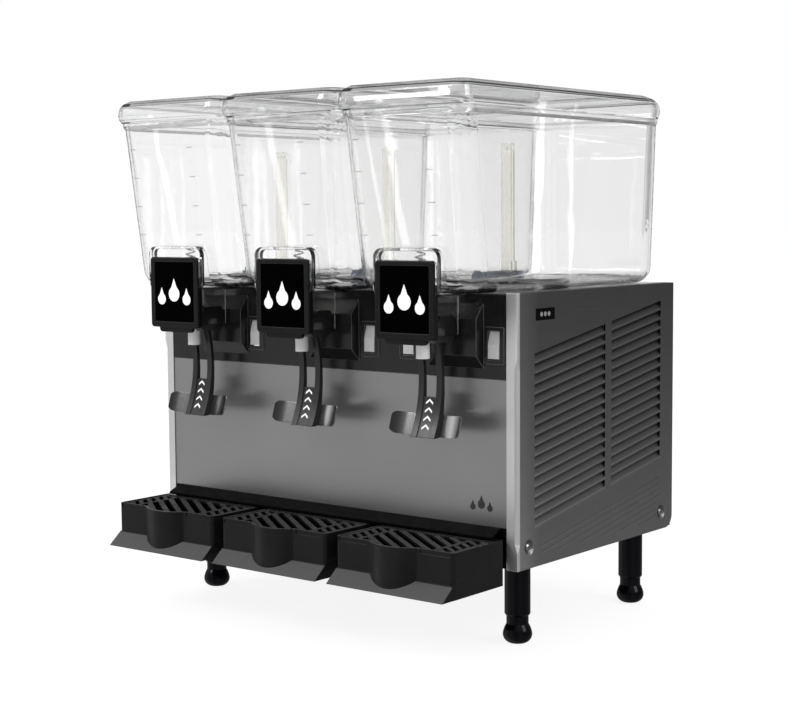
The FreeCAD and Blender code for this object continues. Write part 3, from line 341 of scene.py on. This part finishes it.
def make_materials():
    """One material for each slot of the record, then those of the small pieces."""
    m = MATERIALS
    m["side_grey"] = side_steel()
    m["rear_grey"] = painted("rear_paint", 0.10, 0.40)
    m["base_steel"] = moulded("base_paint", 0.002, 0.5, specular=0.02)
    m["brushed_front"] = brushed("front_brushed_steel", 0.455, 0.34, 0, 0.05, 0.6).material
    m["deck_steel"] = brushed("deck_brushed_steel", 0.85, 0.25, 1).material
    m["push_steel"] = pad_steel()
    m["plate_steel"] = brushed("cold_plate_steel", 0.50, 0.22, 1).material
    m["spring_steel"] = brushed("spring_wire", 0.5, 0.25, 2).material
    m["screw_steel"] = brushed("screw_steel", 0.45, 0.30, 1).material
    m["condenser_alloy"] = brushed("fin_alloy", 0.5, 0.35, 2).material
    m["blade_alloy"] = brushed("fan_alloy", 0.45, 0.35, 2).material
    # the fascia and the covers carry a painted highlight along their edges
    m["fascia_black"] = moulded("fascia_plastic", 0.008, 0.22, edge=0.0012, edge_highlight=0.16)
    m["cover_black"] = moulded("cover_plastic", 0.004, 0.34, specular=0.2, edge=0.0006, edge_highlight=0.035)
    m["lever_black"] = moulded("lever_plastic", 0.010, 0.34, edge=0.0010)
    m["tray_black"] = tray_plastic()
    m["grid_black"] = moulded("grid_plastic", 0.006, 0.45, specular=0.10, edge=0.0005)
    m["leg_black"] = moulded("leg_plastic", 0.002, 0.12, specular=0.16, colour=(0.8, 0.8, 1.3))
    m["gasket_black"] = moulded("gasket_rubber", 0.012, 0.6)
    m["rocker_white"] = moulded("rocker_plastic", 0.40, 0.28, tone=0.05, edge=0.0005)
    m["piston_white"] = moulded("piston_plastic", 0.55, 0.35, tone=0.05)
    m["impeller_white"] = moulded("impeller_plastic", 0.6, 0.35, tone=0.05)
    m["magnet_grey"] = moulded("magnet_plastic", 0.12, 0.35)
    m["compressor_black"] = painted("compressor_paint", 0.015, 0.25)
    m["fan_grey"] = painted("shroud_paint", 0.12, 0.45)
    m["motor_steel"] = painted("motor_paint", 0.2, 0.4)
    # the bowls carry painted shade along their sharp edges
    bowl = clear("bowl_plastic", (0.985, 0.986, 0.985), shade(0.02), power=2.8, outline=0.35)
    m["bowl_clear"] = bowl.material
    m["lid_clear"] = clear("lid_plastic", (0.94, 0.942, 0.942), shade(0.16)).material
    m["tube_clear"] = tube_plastic()
    m["label_gloss"] = moulded("label_gloss_film", 0.0003, 0.25, specular=0.01)
    m["mark_white"] = moulded("mark_white_ink", 0.80, 0.45, tone=0.03)
    m["mark_dark"] = moulded("mark_dark_ink", 0.02, 0.45)


def dress_cad():
    """Every carried-over CAD node takes the material of its record slot."""
    slots = {entry["node"]: entry["material_slot"] for entry in frame["record"]["subparts"]}
    for name, node in NODES.items():
        node.data.materials.clear()
        node.data.materials.append(MATERIALS[slots[name]])


# ---------------------------------------------------------------- small pieces


def add_piece(name, verts, faces, material, body, slot):
    mesh = bpy.data.meshes.new(name)
    mesh.from_pydata(verts, [], faces)
    mesh.update()
    mesh.materials.append(MATERIALS[material])
    piece = bpy.data.objects.new(name, mesh)
    SCENE.collection.objects.link(piece)
    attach(piece, body)


def raised(outlines, place, thickness):
    """Flat shapes in (u, v), each raised into a thin plate; place(u, v, lift) gives the point."""
    verts, faces = [], []
    for outline in outlines:
        start, count = len(verts), len(outline)
        verts += [place(u, v, 0.0) for u, v in outline]
        verts += [place(u, v, thickness) for u, v in outline]
        faces.append([start + count + i for i in range(count)])
        faces.append([start + i for i in reversed(range(count))])
        for i in range(count):
            j = (i + 1) % count
            faces.append([start + i, start + j, start + count + j, start + count + i])
    return verts, faces


def droplet(u, v, size):
    """Outline of a falling drop: a circle drawn out to a point at its top."""
    points = []
    for index in range(28):
        turn = math.radians(120.0 + index * 300.0 / 27.0)
        points.append((u + size * math.cos(turn), v + size * math.sin(turn)))
    points.append((u, v + 2.1 * size))
    return points


def three_drops(u, v, size):
    """The generic mark: a larger drop between two smaller ones."""
    return [droplet(u + side * 2.7 * size, v + (0.5 * size if side == 0 else -0.3 * size),
                    size * (1.15 if side == 0 else 0.85)) for side in (-1, 0, 1)]


LABEL_HALF, LABEL_LOW, LABEL_HIGH, LABEL_CORNER = 0.0328, 0.3490, 0.4198, 0.0015
LABEL_RECESS = 0.0005                                  # depth of the cover's recess
LABEL_THICK, MARK_THICK = 0.0002, 0.0001
FILM_GAP, DROPS_GAP = 0.00005, 0.0003                  # from the recess's floor to the film and to its drops
COVER_DROPS_Z, COVER_DROP_SIZE = 0.3780, 0.0078
PANEL_MARK_X, PANEL_MARK_Z, PANEL_DROP_SIZE = 0.2215, 0.158, 0.0042
PANEL_SKIN = FRONT + 0.001                             # outer face of the brushed front panel
PANEL_GAP = 0.0001                                     # from that face to its mark


def label_outline():
    """Rectangle with rounded corners, in (u, z)."""
    x, r = LABEL_HALF - LABEL_CORNER, LABEL_CORNER
    z0, z1 = LABEL_LOW + r, LABEL_HIGH - r
    points = []
    for cx, cz, start in ((x, z0, -90), (x, z1, 0), (-x, z1, 90), (-x, z0, 180)):
        for step in range(5):
            turn = math.radians(start + step * 22.5)
            points.append((cx + r * math.cos(turn), cz + r * math.sin(turn)))
    return points


def make_cover_label(name, x):
    """Glossy black film in the cover's recess, with three white drops on it."""
    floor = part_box("valve_cover_" + name)[0][1] + LABEL_RECESS

    def on_floor(u, v, lift):
        return (x + u, floor - FILM_GAP - lift, v)

    def on_film(u, v, lift):
        return (x + u, floor - DROPS_GAP - lift, v)
    film = raised([label_outline()], on_floor, LABEL_THICK)
    add_piece("cover_label_" + name, *film, "label_gloss", "bowl_" + name, "cover_black")
    marks = raised(three_drops(0.0, COVER_DROPS_Z, COVER_DROP_SIZE), on_film, MARK_THICK)
    add_piece("cover_mark_" + name, *marks, "mark_white", "bowl_" + name, "cover_black")


def make_panel_mark():
    """Three small dark drops, low on the right of the front panel."""
    def place(u, v, lift):
        return (PANEL_MARK_X + u, PANEL_SKIN - PANEL_GAP - lift, PANEL_MARK_Z + v)
    marks = raised(three_drops(0.0, 0.0, PANEL_DROP_SIZE), place, MARK_THICK)
    add_piece("panel_mark", *marks, "mark_dark", "cabinet", "brushed_front")


def arc_centre(a, b, c):
    """Centre and radius of the circle through three (y, z) points."""
    (ax, ay), (bx, by), (cx, cy) = a, b, c
    d = 2 * (ax * (by - cy) + bx * (cy - ay) + cx * (ay - by))
    ux = ((ax**2 + ay**2) * (by - cy) + (bx**2 + by**2) * (cy - ay) + (cx**2 + cy**2) * (ay - by)) / d
    uy = ((ax**2 + ay**2) * (cx - bx) + (bx**2 + by**2) * (ax - cx) + (cx**2 + cy**2) * (bx - ax)) / d
    return ux, uy, math.hypot(ax - ux, ay - uy)


LEVER_ARC = ((-0.0355, 0.342), (-0.0286, 0.286), (-0.0435, 0.234))     # (y, z) along the lever's front face
LEVER_SINK = 0.0012                                    # how far the plate lies behind the arms' front
CHEVRON_LOW, CHEVRON_PITCH = 0.2420, 0.0090
CHEVRON_HALF, CHEVRON_RISE, CHEVRON_THICK = 0.0048, 0.0038, 0.0023
CHEVRON_GAP, CHEVRON_DEPTH = 0.00005, 0.0002           # from the plate to the mark, and the mark's own depth


def make_lever_marks(name, x):
    """Four chevrons that point up the lever, on the plate between the arms."""
    cy, cz, radius = arc_centre(*LEVER_ARC)

    def place(u, v, lift):
        y = cy + math.sqrt(radius**2 - (v - cz) ** 2)
        return (x + u, FRONT + LEVER_SINK + y - CHEVRON_GAP - lift, v)
    strokes = []
    for index in range(4):
        low = CHEVRON_LOW + CHEVRON_PITCH * index
        tip = low + CHEVRON_RISE
        low_top, tip_top = low + CHEVRON_THICK, tip + CHEVRON_THICK
        strokes.append([(-CHEVRON_HALF, low), (0.0, tip), (0.0, tip_top), (-CHEVRON_HALF, low_top)])
        strokes.append([(0.0, tip), (CHEVRON_HALF, low), (CHEVRON_HALF, low_top), (0.0, tip_top)])
    marks = raised(strokes, place, CHEVRON_DEPTH)
    add_piece("lever_arrows_" + name, *marks, "mark_white", "lever_" + name, "lever_black")


BOWL_LOW_Z, BOWL_HIGH_Z = 0.3904, 0.578
BOWL_LOW_Y, BOWL_HIGH_Y = FRONT - 0.0553, FRONT - 0.0800
TICK_LOW, TICK_PITCH, TICK_HALF_HEIGHT = 0.452, 0.034, 0.0005
TICK_SPANS = ((-0.066, -0.058), (0.030, 0.038))
TICK_LIFTS = (-0.0001, 0.0004)                         # from just inside the bowl's face to just outside it
BLOCK_FACES = ((0, 1, 3, 2), (4, 6, 7, 5), (0, 4, 5, 1), (2, 3, 7, 6), (1, 5, 7, 3), (0, 2, 6, 4))


def bowl_front(z):
    """Y of the bowl's outer front face at height z."""
    t = (z - BOWL_LOW_Z) / (BOWL_HIGH_Z - BOWL_LOW_Z)
    return BOWL_LOW_Y + t * (BOWL_HIGH_Y - BOWL_LOW_Y)


def make_bowl_ticks(name, x):
    """Short moulded lines that mark the fill levels on the bowl's front."""
    verts, faces = [], []
    for row in range(4):
        z = TICK_LOW + TICK_PITCH * row
        for span in TICK_SPANS:
            start = len(verts)
            for u in span:
                for dz in (-TICK_HALF_HEIGHT, TICK_HALF_HEIGHT):
                    for lift in TICK_LIFTS:
                        verts.append((x + u, bowl_front(z + dz) - lift, z + dz))
            faces += [[start + i for i in face] for face in BLOCK_FACES]
    add_piece("fill_marks_" + name, verts, faces, "bowl_clear", "bowl_" + name, "bowl_clear")


def make_valve_coil(name):
    """Spring over the valve piston: a copy of the CAD spring that rides with the bowl, in place of the
    hidden CAD node.
    """
    node = NODES["valve_spring_" + name]
    coil = bpy.data.objects.new("valve_coil_" + name, node.data.copy())
    SCENE.collection.objects.link(coil)
    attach(coil, "bowl_" + name)
    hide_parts("valve_spring_" + name)
    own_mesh(coil)


# ---------------------------------------------------------------- studio


FLOOR_HALF = 40.0


def make_floor():
    """Pale paper that glows a little, so that its shadows stay faint."""
    mesh = bpy.data.meshes.new("floor")
    corners = [(x * FLOOR_HALF, y * FLOOR_HALF, 0) for x, y in ((-1, -1), (1, -1), (1, 1), (-1, 1))]
    mesh.from_pydata(corners, [], [(0, 1, 2, 3)])
    floor = bpy.data.objects.new("floor", mesh)
    SCENE.collection.objects.link(floor)
    floor.visible_glossy = False
    paper = Shader("floor_paper", shade(0.15), 1.0, Specular_IOR_Level=0.0, Emission_Strength=0.88)
    paper.bsdf.inputs["Emission Color"].default_value = (*WHITE, 1.0)
    paper.tint(paper.noise(3.0, 2.0), shade(0.14), shade(0.16))
    mesh.materials.append(paper.material)


def area_light(name, place, target, size, power):
    data = bpy.data.lights.new(name, "AREA")
    data.shape = "RECTANGLE"
    data.size, data.size_y = size
    data.energy = power
    lamp = bpy.data.objects.new(name, data)
    lamp.location = place
    lamp.rotation_euler = (Vector(target) - Vector(place)).to_track_quat("-Z", "Y").to_euler()
    lamp.visible_camera = False
    SCENE.collection.objects.link(lamp)
    return lamp


# What gloss mirrors around the horizon: (degrees from X towards Y, brightness).
MIRRORED_RING = ((0, 0.16), (51, 0.13), (110, 0.22), (165, 0.14), (188, 0.34), (202, 0.80), (216, 0.44),
                 (232, 0.42), (255, 0.42), (272, 0.30), (290, 0.13), (308, 0.16), (322, 0.34), (340, 0.22))
FLAGS = 8                                              # how many grey flags stand around the horizon
VIEW_X, VIEW_Y = -0.62, 0.78                           # the way the main camera looks


def make_world():
    """White studio; greyer where gloss mirrors it, and with grey flags where clear plastic shows it."""
    world = bpy.data.worlds.new("studio")
    world.use_nodes = True
    tree = world.node_tree
    back = tree.nodes["Background"]

    def plug(socket, value):
        if isinstance(value, bpy.types.NodeSocket):
            tree.links.new(value, socket)
        else:
            socket.default_value = value

    def calc(operation, *values, clamp=False):
        made = tree.nodes.new("ShaderNodeMath")
        made.operation, made.use_clamp = operation, clamp
        for index, value in enumerate(values):
            plug(made.inputs[index], value)
        return made.outputs[0]

    def spread(value, start, end, low, high):
        made = tree.nodes.new("ShaderNodeMapRange")
        items = {"Value": value, "From Min": start, "From Max": end, "To Min": low, "To Max": high}
        for key, item in items.items():
            plug(made.inputs[key], item)
        return made.outputs["Result"]

    def blend(factor, first, second):
        rest = calc("SUBTRACT", 1.0, factor)
        return calc("ADD", calc("MULTIPLY", rest, first), calc("MULTIPLY", factor, second))
    path = tree.nodes.new("ShaderNodeLightPath")
    split = tree.nodes.new("ShaderNodeSeparateXYZ")
    tree.links.new(tree.nodes.new("ShaderNodeTexCoord").outputs["Generated"], split.inputs[0])
    x, y, z = split.outputs
    angle = calc("ARCTAN2", y, x)
    ring = tree.nodes.new("ShaderNodeValToRGB")
    tree.links.new(calc("FRACT", calc("ADD", calc("DIVIDE", angle, 2.0 * math.pi), 1.0)), ring.inputs[0])
    elements = ring.color_ramp.elements
    for index, (degrees, level) in enumerate(MIRRORED_RING):
        stop = elements[index] if index < 2 else elements.new(degrees / 360.0)
        stop.position = degrees / 360.0
        stop.color = (level, level, level, 1.0)
    mirrored = calc("ADD", ring.outputs["Color"], spread(z, 0.25, 0.9, 0.0, 0.5))
    mirrored = calc("ADD", mirrored, spread(z, -0.22, -0.02, 0.08, 0.0))
    ahead = calc("ADD", calc("MULTIPLY", x, VIEW_X), calc("MULTIPLY", y, VIEW_Y))
    level_band = spread(calc("ABSOLUTE", z), 0.16, 0.30, 1.0, 0.0)
    backdrop = calc("MULTIPLY", spread(ahead, 0.86, 0.95, 0.0, 0.6), level_band)
    mirrored = calc("ADD", mirrored, backdrop)
    turn = calc("MULTIPLY", angle, FLAGS / (2.0 * math.pi))
    off_flag = calc("ABSOLUTE", calc("SUBTRACT", calc("FRACT", calc("ADD", turn, 8.0)), 0.5))
    bent = calc("MULTIPLY", spread(off_flag, 0.08, 0.16, 0.40, 1.0), spread(z, 0.12, 0.45, 1.0, 0.45))
    through = path.outputs["Is Transmission Ray"]
    gloss = calc("SUBTRACT", path.outputs["Is Glossy Ray"], through, clamp=True)
    tree.links.new(blend(gloss, blend(through, 1.0, bent), mirrored), back.inputs["Strength"])
    back.inputs["Color"].default_value = (1.0, 1.0, 1.0, 1.0)
    SCENE.world = world


STRIPS = ((-0.31, -0.75, 0.011), (-0.35, -0.75, 0.005), (-0.55, -0.75, 0.011), (-0.81, -0.75, 0.009),
          (0.92, 0.93, 0.015), (0.92, 1.04, 0.006))     # x, y and width of each strip
STRIP_HEIGHT, STRIP_MIDDLE = 0.62, 0.34
STRIP_POWER = 4.4                                      # watts per metre of width


def make_lights():
    """Two soft boxes, and narrow strips that only the clear bowls and lids mirror."""
    middle = (0.0, 0.0, 0.3)
    area_light("key", (-1.0, -2.2, 2.0), middle, (1.4, 1.0), 45.0)
    area_light("side", (2.4, 0.3, 1.3), middle, (1.2, 1.2), 20.0)
    clear_parts = bpy.data.collections.new("clear_parts")
    for bay in BAYS:
        clear_parts.objects.link(NODES["bowl_" + bay])
        clear_parts.objects.link(NODES["lid_" + bay])
    aim = (0.0, 0.0, STRIP_MIDDLE)
    for index, (x, y, width) in enumerate(STRIPS):
        place, size = (x, y, STRIP_MIDDLE), (width, STRIP_HEIGHT)
        lamp = area_light("strip_%d" % index, place, aim, size, STRIP_POWER * width)
        lamp.light_linking.receiver_collection = clear_parts


EYE = (1.2499, -1.5292, 0.4715)                        # where the object's perspective puts the camera
YAW, PITCH, ROLL = 38.97, -5.01, -0.42                 # its aim, in degrees
SENSOR, LENS = 36.0, 74.62                             # millimetres


def make_camera():
    yaw, pitch, roll = math.radians(YAW), math.radians(PITCH), math.radians(ROLL)
    ahead = Vector((-math.sin(yaw) * math.cos(pitch), math.cos(yaw) * math.cos(pitch), math.sin(pitch)))
    side = Vector((math.cos(yaw), math.sin(yaw), 0.0))
    up = side.cross(ahead)
    right = side * math.cos(roll) + up * math.sin(roll)
    top = up * math.cos(roll) - side * math.sin(roll)
    turn = Matrix((right, top, -ahead)).transposed().to_4x4()
    data = bpy.data.cameras.new("camera")
    data.sensor_width = SENSOR
    data.lens = LENS
    data.clip_end = 200.0
    camera = bpy.data.objects.new("camera", data)
    camera.matrix_world = Matrix.Translation(EYE) @ turn
    SCENE.collection.objects.link(camera)
    SCENE.camera = camera


def set_look():
    SCENE.view_settings.view_transform = "Standard"
    SCENE.cycles.max_bounces = 24
    SCENE.cycles.transmission_bounces = 24
    SCENE.cycles.transparent_max_bounces = 32


make_materials()
dress_cad()
for bay, bay_x in BAYS.items():
    make_cover_label(bay, bay_x)
    make_lever_marks(bay, bay_x)
    make_bowl_ticks(bay, bay_x)
    make_valve_coil(bay)
make_panel_mark()
make_floor()
make_world()
make_lights()
make_camera()
set_look()
